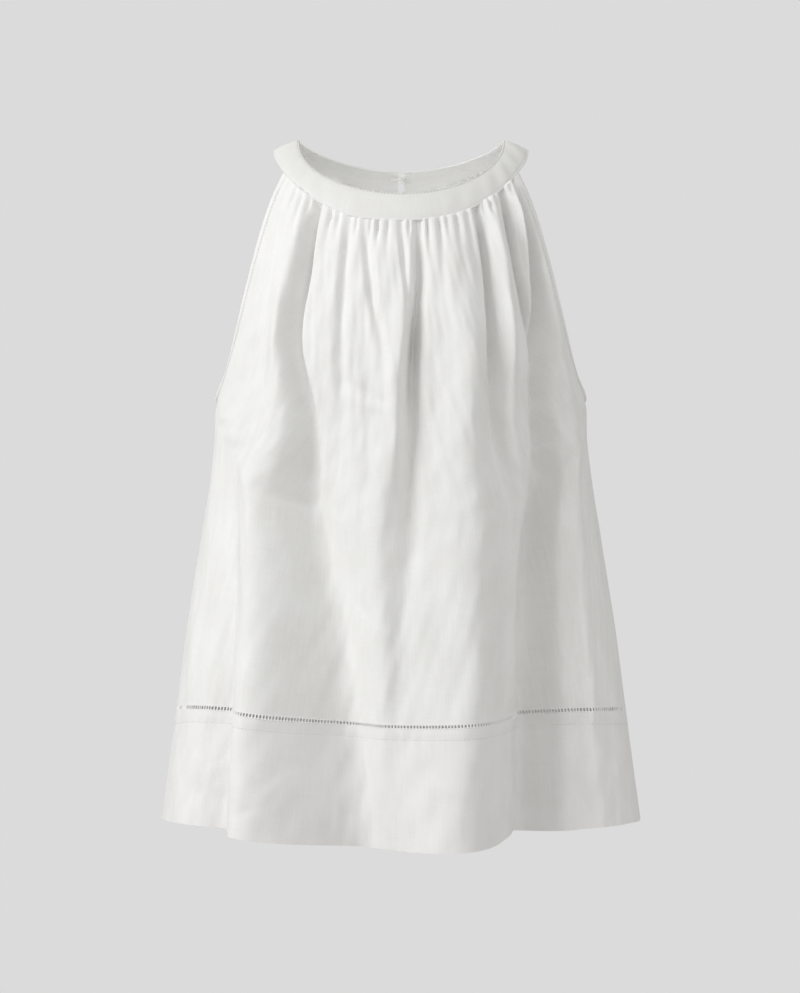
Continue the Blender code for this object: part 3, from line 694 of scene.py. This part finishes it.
def add_piece(name, verts, faces, material, node=None, uv=None):
    """A smooth mesh in metres that rides on the body and may replace a node."""
    mesh = bpy.data.meshes.new(name)
    verts = np.asarray(verts, dtype=np.float64).reshape(-1, 3) * MM
    mesh.from_pydata(verts.tolist(), [], faces)
    mesh.materials.append(material)
    if uv is not None:
        layer = mesh.uv_layers.new(name="cloth")
        corner = np.zeros(len(mesh.loops), dtype=np.int32)
        mesh.loops.foreach_get("vertex_index", corner)
        layer.data.foreach_set("uv", np.asarray(uv, dtype=np.float32)[corner].ravel())
    mesh.shade_smooth()
    mesh.set_sharp_from_angle(angle=RIM_ANGLE)
    mesh.update()
    piece = bpy.data.objects.new(name, mesh)
    bpy.context.scene.collection.objects.link(piece)
    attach(piece, "root")
    if node:
        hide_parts(node)
    return piece


def grid_faces(ids):
    """Four-sided faces between the rows and columns of a grid of point numbers."""
    corners = (ids[:-1, :-1], ids[1:, :-1], ids[1:, 1:], ids[:-1, 1:])
    return np.stack(corners, axis=-1).reshape(-1, 4)


def shell(outer, inner, faces, outward):
    """A closed sheet of cloth: outer faces, inner faces and the rim between them."""
    used, faces = np.unique(faces, return_inverse=True)
    faces = faces.reshape(-1, 4)
    if not outward:
        faces = faces[:, ::-1]
    ends = np.concatenate([faces[:, [k, (k + 1) % 4]] for k in range(4)]).astype(np.int64)
    count = len(used)
    key = ends[:, 0] * count + ends[:, 1]
    back = ends[:, 1] * count + ends[:, 0]
    rim = ends[~np.isin(key, back)]
    edge = np.stack([rim[:, 1], rim[:, 0], rim[:, 0] + count, rim[:, 1] + count], axis=-1)
    every = np.concatenate([faces, faces[:, ::-1] + count, edge])
    verts = np.concatenate([outer.reshape(-1, 3)[used], inner.reshape(-1, 3)[used]])
    return verts, every.tolist(), used


def cloth_map(across, depth):
    """Where each point lies on the flat cloth, in millimetres."""
    across, depth = np.broadcast_arrays(across, depth)
    return np.stack([across * HALF_CUT_WIDTH, -depth], axis=-1).reshape(-1, 2)


def tucked(half, across, depth, outer, plain):
    """The same cloth with one more row at its top, which lies inside the collar."""
    angle = neck_angle(half, across[:1] + 0 * depth[:1])
    edge, down, out = collar_frame(angle)
    row = edge + (collar_width(angle) - TUCK)[..., None] * down - TUCK_INSIDE * out
    depth = np.concatenate([depth[:1] - TUCK, depth])
    across = np.concatenate([across[:1] + 0 * depth[:1], across + 0 * depth[1:]])
    return across, depth, np.concatenate([row, outer]), np.concatenate([out, plain])


def make_sheet(name, half, depth, thickness, material, node, tuck=False):
    """A stretch of a panel from edge to edge, as a closed sheet of cloth."""
    across = np.linspace(-1, 1, COLUMNS + 1)[None, :]
    outer, plain = draped_surface(half, across, depth)
    if tuck:
        across, depth, outer, plain = tucked(half, across, depth, outer, plain)
    ids = np.arange(outer[..., 0].size).reshape(outer.shape[:2])
    inner = outer - thickness * plain
    verts, faces, used = shell(outer, inner, grid_faces(ids), half is FRONT)
    uv = cloth_map(across, depth)[used]
    return add_piece(name, verts, faces, material, node, np.concatenate([uv, uv]))


def row_depths(start, end, count, crowding):
    """Rows that lie closer together near the start."""
    t = np.linspace(0, 1, count)
    return (start + (end - start) * t**crowding)[:, None]


COLUMNS = 280
ROWS = 148


def make_front_panel(material):
    """The front, from inside the collar to the hemstitching."""
    depth = row_depths(FRONT["top"], LADDER_TOP, ROWS, 1.35)
    return make_sheet(
        "front_linen", FRONT, depth, CLOTH, material, "front_panel", True
    )


def slit_half_width(depth):
    """Half the opening of the back's slit: a slim drop that closes at its lower end."""
    below = (depth - BACK["top"]) / SLIT_LENGTH
    closing = np.clip(1 - below**4, 0, None) ** 0.5
    swell = np.sin(np.pi * np.clip(below, 0, 1))
    return (SLIT_TOP_HALF + (SLIT_MIDDLE_HALF - SLIT_TOP_HALF) * swell) * closing


def make_back_panel(material):
    """The back, with its centre column parted down the slit."""
    slit_end = BACK["top"] + SLIT_LENGTH
    upper = row_depths(BACK["top"], slit_end, 36, 1.0)
    lower = row_depths(slit_end, LADDER_TOP, ROWS - len(upper) - 10, 1.0)
    depth = np.concatenate([upper, lower[1:]])
    parted = slit_half_width(depth) / half_arc(BACK, depth)
    left = -1 + (1 - parted) * (np.linspace(-1, 0, COLUMNS // 2 + 1)[None, :] + 1)
    across = np.concatenate([left, -left[:, ::-1]], axis=1)
    outer, plain = draped_surface(BACK, across, depth)
    across, depth, outer, plain = tucked(BACK, across, depth, outer, plain)
    ids = np.arange(across.size).reshape(across.shape)
    middle = COLUMNS // 2
    whole = depth[:, 0] >= slit_end - 1e-6
    ids[whole, middle + 1] = ids[whole, middle]
    inner = outer - CLOTH * plain
    faces = np.concatenate([grid_faces(ids[:, : middle + 1]), grid_faces(ids[:, middle + 1 :])])
    verts, faces, used = shell(outer, inner, faces, False)
    uv = cloth_map(across, depth)[used]
    uv = np.concatenate([uv, uv])
    return add_piece("back_linen", verts, faces, material, "back_panel", uv)


def make_band(half, material):
    """The deep hem band, two layers of linen below the hemstitching."""
    depth = row_depths(LADDER_BOTTOM, half["hem"], 52, 1.0)
    name, node = half["name"] + "_band_linen", half["name"] + "_hem_band"
    return make_sheet(name, half, depth, BAND_CLOTH, material, node)


def swept(line, sideways, upward, profile):
    """A closed profile carried along a line, with flat ends.

    Each profile point lies so far along the sideways direction and so far along the upward
    one. The profile runs round against the clock as seen from the line's end.
    """
    ring = (
        line[:, None]
        + profile[..., 0][..., None] * sideways[:, None]
        + profile[..., 1][..., None] * upward[:, None]
    )
    rows, around = ring.shape[:2]
    ids = np.arange(rows * around).reshape(rows, around)
    ids = np.concatenate([ids, ids[:, :1]], axis=1)
    faces = grid_faces(ids).tolist()
    faces.append(ids[0, :-1].tolist())
    faces.append(ids[-1, :-1][::-1].tolist())
    return ring, faces


def groove(run, places, depth):
    """How far seams pull a face in: a bell at each place."""
    bells = (np.exp(-(((run - place) / GROOVE_WIDTH) ** 2)) for place in places)
    return sum((depth * bell for bell in bells), 0 * run)


def strip_profile(width, thickness, bulge, count, grooves=(), inner_grooves=()):
    """The outline of a folded strip: nearly flat faces with round edges.

    The first number of a point runs across the strip and the second out of it. The outer
    face lies at nought and bulges a little, and the inner face lies a thickness below.
    """
    radius = thickness / 2
    t = np.linspace(0, 1, count)
    run = radius + (width - 2 * radius) * t
    rise = bulge * 4 * t * (1 - t)
    turn = np.linspace(0, np.pi, 7)[1:-1]
    outer = np.stack([run, rise - groove(run, grooves, OUTER_GROOVE)], axis=-1)
    sunk = groove(run, inner_grooves, INNER_GROOVE)
    inner = np.stack([run, rise - thickness + sunk], axis=-1)[::-1]
    sine, cosine = radius * np.sin(turn), radius * np.cos(turn)
    far = np.stack([width - radius + sine, -radius + cosine], axis=-1)
    near = np.stack([radius - sine, -radius - cosine], axis=-1)
    return np.concatenate([outer, far, inner, near])


def collar_wrinkles(angle, run, width):
    """Soft slanting wrinkles in both faces of the collar, strongest by the shoulders.

    Two slanting sines, held to nothing at the neck edge and the lower edge.
    """
    share = run / width
    held = 4 * share * (1 - share)
    slant = np.abs(angle) * 1.5 + 9 * share
    by_shoulder = 0.25 + np.exp(-(((np.abs(angle) - 72) / 34) ** 2))
    waves = 0.34 * np.sin(slant / 2.9) + 0.22 * np.sin(slant / 5.3 + angle / 40)
    return held * by_shoulder * waves


def make_collar(name, start, end, node):
    """A stretch of the collar: a folded band, rounded at its neck edge and lower edge."""
    count = max(12, round(abs(end - start) * (1.6)))
    angle = np.linspace(start, end, count + 1)
    edge, down, out = collar_frame(angle)
    width = collar_width(angle)
    profiles = []
    for wide in width:
        outer = (COLLAR_STITCH_INSET, wide - COLLAR_ROLL_INSET)
        inner = (*outer, FACING_SEAM)
        profiles.append(strip_profile(wide, COLLAR_CLOTH, COLLAR_ROUND, 26, outer, inner))
    profiles = np.stack(profiles)
    profiles[..., 1] += collar_wrinkles(angle[:, None], profiles[..., 0], width[:, None])
    ring, faces = swept(edge, down, out, profiles)
    length = travelled(edge)
    run = np.broadcast_to(length[:, None], ring.shape[:2])
    inside = profiles[..., 1] < -COLLAR_CLOTH / 2
    uv = np.stack([run, -profiles[..., 0] - INNER_MAP_SHIFT * inside], axis=-1)
    # Its linen is coloured darker than the panels' linen as painted shade.
    return add_piece(name, ring, faces, collar_linen, node, uv.reshape(-1, 2))


def armhole_line(count):
    """The panels' edge all round the armhole on +X, and the normals along it."""
    runs = []
    normals = []
    for half in (FRONT, BACK):
        depth = np.linspace(half["top"], half["underarm"], count)
        one = np.ones(count)
        runs.append(plain_surface(half, one, depth))
        normals.append(surface_normal(half, one, depth))
    middle = 0.5 * (runs[0][-1:] + runs[1][-1:])
    line = np.concatenate([runs[0][:-1], middle, runs[1][-2::-1]])
    normal = np.concatenate([normals[0], normals[1][-2::-1]])
    return line, normal


def binding_frame(count):
    """The armhole line with the directions out of the cloth and away from the panel."""
    line, normal = armhole_line(count)
    along = unit(np.gradient(line, axis=0))
    away = unit(np.cross(normal, along))
    flare = BINDING_FLARE * fade(line[:, 2:] - line[:, 2].min(), NORMAL_REACH)
    return line, unit(away + flare * normal), normal


def make_binding(name, sign, node, material):
    """A folded strip that finishes the armhole from the front of the collar to the back."""
    line, away, normal = binding_frame(90)
    profile = strip_profile(BINDING_WIDTH, BINDING_CLOTH, BINDING_BULGE, 8)
    profile = np.broadcast_to(profile, (len(line), *profile.shape))
    ring, faces = swept(line + SEAM_GAP * away, away, normal, profile)
    reach = SEAM_GAP + profile[0, :, 0]
    turn = BINDING_TURN * reach / (SEAM_GAP + BINDING_WIDTH)
    run = travelled(line)
    for row, angle, gone in (
        (0, FRONT_CORNER - BINDING_TURN + turn, run),
        (-1, BACK_CORNER + BINDING_TURN - turn, run[-1] - run),
    ):
        straight = line[row] + reach[:, None] * away[row]
        shift = collar_seam(angle) - straight
        ring = ring + fade(gone, NORMAL_REACH)[:, None, None] * shift[None]
    ring[..., 0] *= sign
    if sign < 0:
        faces = [face[::-1] for face in faces]
    uv = np.stack([np.broadcast_to(run[:, None], ring.shape[:2]), profile[..., 0]], axis=-1)
    return add_piece(name, ring, faces, material, node, uv.reshape(-1, 2))


# ---- Sewing ----


def spaced(line, pitch):
    """Places at an even pitch along a line, as whole and part steps of its points."""
    run = travelled(line)
    count = max(2, int(run[-1] / pitch))
    return np.interp((np.arange(count) + 0.5) * run[-1] / count, run, np.arange(len(line)))


def at_places(values, places):
    """Values of a line read between its points."""
    k = np.clip(places.astype(int), 0, len(values) - 2)
    t = (places - k)[:, None]
    return values[k] * (1 - t) + values[k + 1] * t


def stitches(line, normal):
    """A row of stitches: each is a slim eight-sided lens that lies on the cloth."""
    places = spaced(line, THREAD_PITCH)
    centre = at_places(line, places)
    out = unit(at_places(normal, places))
    along = unit(at_places(np.gradient(line, axis=0), places))
    sideways = np.cross(out, along)
    arms = (
        THREAD_LENGTH / 2 * along,
        THREAD_WIDTH / 2 * sideways,
        -THREAD_LENGTH / 2 * along,
        -THREAD_WIDTH / 2 * sideways,
        THREAD_HEIGHT / 2 * out,
        -THREAD_HEIGHT / 2 * out,
    )
    verts = np.stack([centre + arm for arm in arms], axis=1)
    one = [(0, 1, 4), (1, 2, 4), (2, 3, 4), (3, 0, 4), (1, 0, 5), (2, 1, 5), (3, 2, 5), (0, 3, 5)]
    faces = (np.array(one)[None] + 6 * np.arange(len(centre))[:, None, None]).reshape(-1, 3)
    return verts.reshape(-1, 3), faces.tolist()


def tube(line, sideways, upward, radius, sides):
    """A round tube along a line."""
    turn = np.arange(sides) * 2 * np.pi / sides
    profile = radius * np.stack([np.cos(turn), np.sin(turn)], axis=-1)
    profile = np.broadcast_to(profile, (len(line), sides, 2))
    ring, faces = swept(line, sideways, upward, profile)
    return ring.reshape(-1, 3), faces


def add_sewing(name, parts, material):
    """One piece from several meshes."""
    faces = []
    shift = 0
    for verts, own in parts:
        faces += [[corner + shift for corner in face] for face in own]
        shift += len(verts)
    verts = np.concatenate([part[0] for part in parts])
    return add_piece(name, verts, faces, material, None)


def make_ladder(half, material):
    """The hemstitching: bundles of threads across the gap, each pinched at its waist.

    A thin rolled edge runs along the cloth above the gap and below it.
    """
    across = np.linspace(-0.992, 0.992, 900)
    upper, normal = draped_surface(half, across, LADDER_TOP + 0 * across)
    lower, _ = draped_surface(half, across, LADDER_BOTTOM + 0 * across)
    places = spaced(upper, LADDER_PITCH)
    top = at_places(upper, places)
    bottom = at_places(lower, places)
    out = unit(at_places(normal, places))
    down = bottom - top
    sideways = unit(np.cross(out, down))
    rings = []
    for share, wide in zip(BUNDLE_SHARES, BUNDLE_WIDTHS):
        middle = top + share * down - BUNDLE_SINK * out
        for turn in np.arange(6) * np.pi / 3:
            wave = BUNDLE_HALF_DEPTH * np.sin(turn) * out
            rings.append(middle + wide / 2 * np.cos(turn) * sideways + wave)
    ids = np.arange(36).reshape(6, 6)
    ids = np.concatenate([ids, ids[:, :1]], axis=1)
    one = grid_faces(ids)
    tri = np.concatenate([one[:, [0, 1, 2]], one[:, [0, 2, 3]]])
    caps = [(0, k, k + 1) for k in range(1, 5)]
    caps += [(30, 30 + k + 1, 30 + k) for k in range(1, 5)]
    tri = np.concatenate([tri, np.array(caps)])
    faces = (tri[None] + 36 * np.arange(len(top))[:, None, None]).reshape(-1, 3).tolist()
    parts = [(np.stack(rings, axis=1).reshape(-1, 3), faces)]
    out = normal[::2]
    for line in (upper[::2], lower[::2]):
        aside = unit(np.cross(out, np.gradient(line, axis=0)))
        parts.append(tube(line - LADDER_EDGE_SINK * out, aside, out, LADDER_EDGE, 6))
    return add_sewing(f"{half['name']}_hemstitch", parts, material)


def collar_line(inset):
    """A line on the collar that runs round it so far below its neck edge."""
    end = COLLAR_END - 0.6
    angle = np.linspace(-end, end, 1200)
    edge, down, out = collar_frame(angle)
    width = collar_width(angle)
    share = inset / width
    rise = COLLAR_ROUND * 4 * share * (1 - share)
    return edge + (inset + 0 * width)[:, None] * down + rise[:, None] * out, out


def make_top_stitching(material):
    """The rows of stitches round the collar, along the bindings and across the bands."""
    parts = [stitches(*collar_line(COLLAR_STITCH_INSET))]
    line, away, normal = binding_frame(120)
    sewn = line + (SEAM_GAP + BINDING_STITCH_INSET) * away + THREAD_HEIGHT * normal
    for sign in (-1, 1):
        flip = np.array([sign, 1, 1])
        parts.append(stitches(sewn * flip, normal * flip))
    for half in (FRONT, BACK):
        across = np.linspace(-0.99, 0.99, 900)
        depth = LADDER_BOTTOM + ALLOWANCE + 0 * across
        parts.append(stitches(*draped_surface(half, across, depth)))
    return add_sewing("top_stitching", parts, material)


def make_closure_thread(material):
    """Thread bars over the back's closure: slim tubes that bridge the two collar ends."""
    edge, down, out = (value[0] for value in collar_frame(np.array([180.0])))
    across = np.array([1.0, 0.0, 0.0])
    share = np.linspace(-1, 1, 13)[:, None]
    rise = BAR_BOW * share**2 - (COLLAR_CLOTH - COLLAR_ROUND + BAR_GAP)
    bar = edge + rise * out + (BAR_MIDDLE + BAR_REACH * share) * across
    sideways = np.broadcast_to(down, bar.shape)
    upward = np.broadcast_to(np.cross(across, down), bar.shape)
    parts = [tube(bar + inset * down, sideways, upward, BAR_RADIUS, 8) for inset in BAR_INSETS]
    return add_sewing("closure_thread", parts, material)


# ---- Stage ----

CAMERA_DISTANCE = 2.2
CAMERA_HEIGHT = -0.315
CAMERA_ASIDE = -0.0009
FRAME_HEIGHT = 0.8937
SENSOR = 36.0
STAGE_RADIUS = 9.0
STAGE_BEND = 1.5
STAGE_FLOOR = -1.1
STAGE_TOP = 9.0
WORLD_STRENGTH = 0.46
WORLD_COLOUR = (1.0, 0.992, 0.970, 1.0)
LIGHT_COLOUR = (0.985, 0.992, 1.0)

# Each soft box: its name, its place, the point it faces, its size and its power in watts
LIGHTS = (
    ("key", (-2.7, -1.6, 1.1), (0, 0, -0.3), 1.8, 71),
    ("front_fill", (0.4, -3.0, -0.1), (0, 0, -0.25), 1.0, 8),
    ("right_fill", (2.6, -1.4, 0.5), (0, 0, -0.3), 1.8, 13),
    ("top_light", (-0.3, -1.0, 2.6), (0, 0, -0.3), 1.8, 7),
    ("inside_fill", (0.055, -0.05, -0.22), (0.06, 0.06, -0.02), 0.10, 0.15),
)


def make_camera():
    """The photo's view: level, from in front, at the top's middle height."""
    data = bpy.data.cameras.new("camera")
    data.sensor_fit = "VERTICAL"
    data.sensor_height = SENSOR
    data.lens = SENSOR * CAMERA_DISTANCE / FRAME_HEIGHT
    camera = bpy.data.objects.new("camera", data)
    camera.location = (CAMERA_ASIDE, -CAMERA_DISTANCE, CAMERA_HEIGHT)
    camera.rotation_euler = (np.pi / 2, 0, 0)
    bpy.context.scene.collection.objects.link(camera)
    bpy.context.scene.camera = camera


def add_light(name, place, aim, size, watts):
    """A square soft box that faces a point."""
    data = bpy.data.lights.new(name, "AREA")
    data.shape = "SQUARE"
    data.size = size
    data.energy = watts
    data.color = LIGHT_COLOUR
    light = bpy.data.objects.new(name, data)
    light.visible_camera = False
    place = np.array(place)
    ahead = unit(np.array(aim) - place)
    light.location = place
    light.rotation_euler = (np.arccos(-ahead[2]), 0, np.arctan2(ahead[1], ahead[0]) - np.pi / 2)
    bpy.context.scene.collection.objects.link(light)


def make_stage():
    """A pale floor that rises into a round wall: a profile turned about the upright axis.

    It is evenly bright and takes no part in lighting the cloth.
    """
    turns = 64
    corner = np.linspace(0, np.pi / 2, 13)
    radius = np.concatenate([[0.02], STAGE_RADIUS - STAGE_BEND + STAGE_BEND * np.sin(corner)])
    height = np.concatenate([[0.0], STAGE_BEND * (1 - np.cos(corner))])
    radius = np.append(radius, [STAGE_RADIUS, 0.02])
    height = np.append(height, [STAGE_TOP, STAGE_TOP])
    turn = np.arange(turns) * 2 * np.pi / turns
    radius, height = radius[:, None], STAGE_FLOOR + height[:, None]
    grid = points(radius * np.cos(turn), radius * np.sin(turn), height)
    ids = np.arange(grid.shape[0] * turns).reshape(-1, turns)
    ids = np.concatenate([ids, ids[:, :1]], axis=1)
    mesh = bpy.data.meshes.new("sweep")
    mesh.from_pydata(grid.reshape(-1, 3).tolist(), [], grid_faces(ids).tolist())
    material = bpy.data.materials.new("pale_sweep")
    material.use_nodes = True
    tree = material.node_tree
    tree.nodes.clear()
    glow = add_node(tree, "ShaderNodeEmission", Color=linear("#DBDBDB"), Strength=1.0)
    end = add_node(tree, "ShaderNodeOutputMaterial")
    tree.links.new(glow.outputs[0], end.inputs["Surface"])
    mesh.materials.append(material)
    sweep = bpy.data.objects.new("sweep", mesh)
    sweep.visible_diffuse = False
    sweep.visible_glossy = False
    sweep.visible_shadow = False
    bpy.context.scene.collection.objects.link(sweep)


def make_world(strength):
    """Even light from all round."""
    world = bpy.data.worlds.new("studio")
    world.use_nodes = True
    back = world.node_tree.nodes["Background"]
    back.inputs["Color"].default_value = WORLD_COLOUR
    back.inputs["Strength"].default_value = strength
    bpy.context.scene.world = world


# ---- The top ----

panel_linen = linen("washed_linen", "#F1F1F0", "#E3E2DF")
band_linen = linen("pressed_linen", "#F1F0EF", "#E5E4E2")
# The collar is the same linen as the panels; its darker colours are painted shade, which dims it
# below what the lamps give.
collar_linen = linen("collar_linen", "#E8E8E6", "#DFDEDB")
pale_thread = plain_material("pale_thread", "#E9E8E4", "#FAFAF7", 900.0, 2.0, 0.6)
# The stitches are drawn grey as painted shade: the grey stands for the shade in the dimples that
# the stitches pull into the cloth.
stitch_painted_shade = plain_material("stitch_painted_shade", "#A3A19B", "#B8B6B0", 900.0, 2.0, 0.6)
wire = plain_material("enamelled_wire", "#D8D8D5", "#F6F6F4", 700.0, 3.0, 0.35)

front_panel = make_front_panel(panel_linen)
back_panel = make_back_panel(panel_linen)
front_band = make_band(FRONT, band_linen)
back_band = make_band(BACK, band_linen)
collar_front = make_collar("front_collar_linen", -SHOULDER_SEAM, SHOULDER_SEAM, "collar_front")
collar_left = make_collar("left_collar_linen", -COLLAR_END, -BACK_START, "collar_back_left")
collar_right = make_collar("right_collar_linen", BACK_START, COLLAR_END, "collar_back_right")
binding_left = make_binding("left_binding_linen", -1, "armhole_binding_left", band_linen)
binding_right = make_binding("right_binding_linen", 1, "armhole_binding_right", band_linen)
front_ladder = make_ladder(FRONT, band_linen)
back_ladder = make_ladder(BACK, band_linen)
sewing = make_top_stitching(stitch_painted_shade)
bars = make_closure_thread(pale_thread)
for name in ("hook", "eye"):
    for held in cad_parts[name].material_slots:
        held.material = wire

make_camera()
make_stage()
make_world(WORLD_STRENGTH)
for light in LIGHTS:
    add_light(*light)

scene = bpy.context.scene
scene.view_settings.view_transform = "Standard"
scene.view_settings.look = "None"
scene.view_settings.exposure = 0.0
scene.view_settings.gamma = 1.0
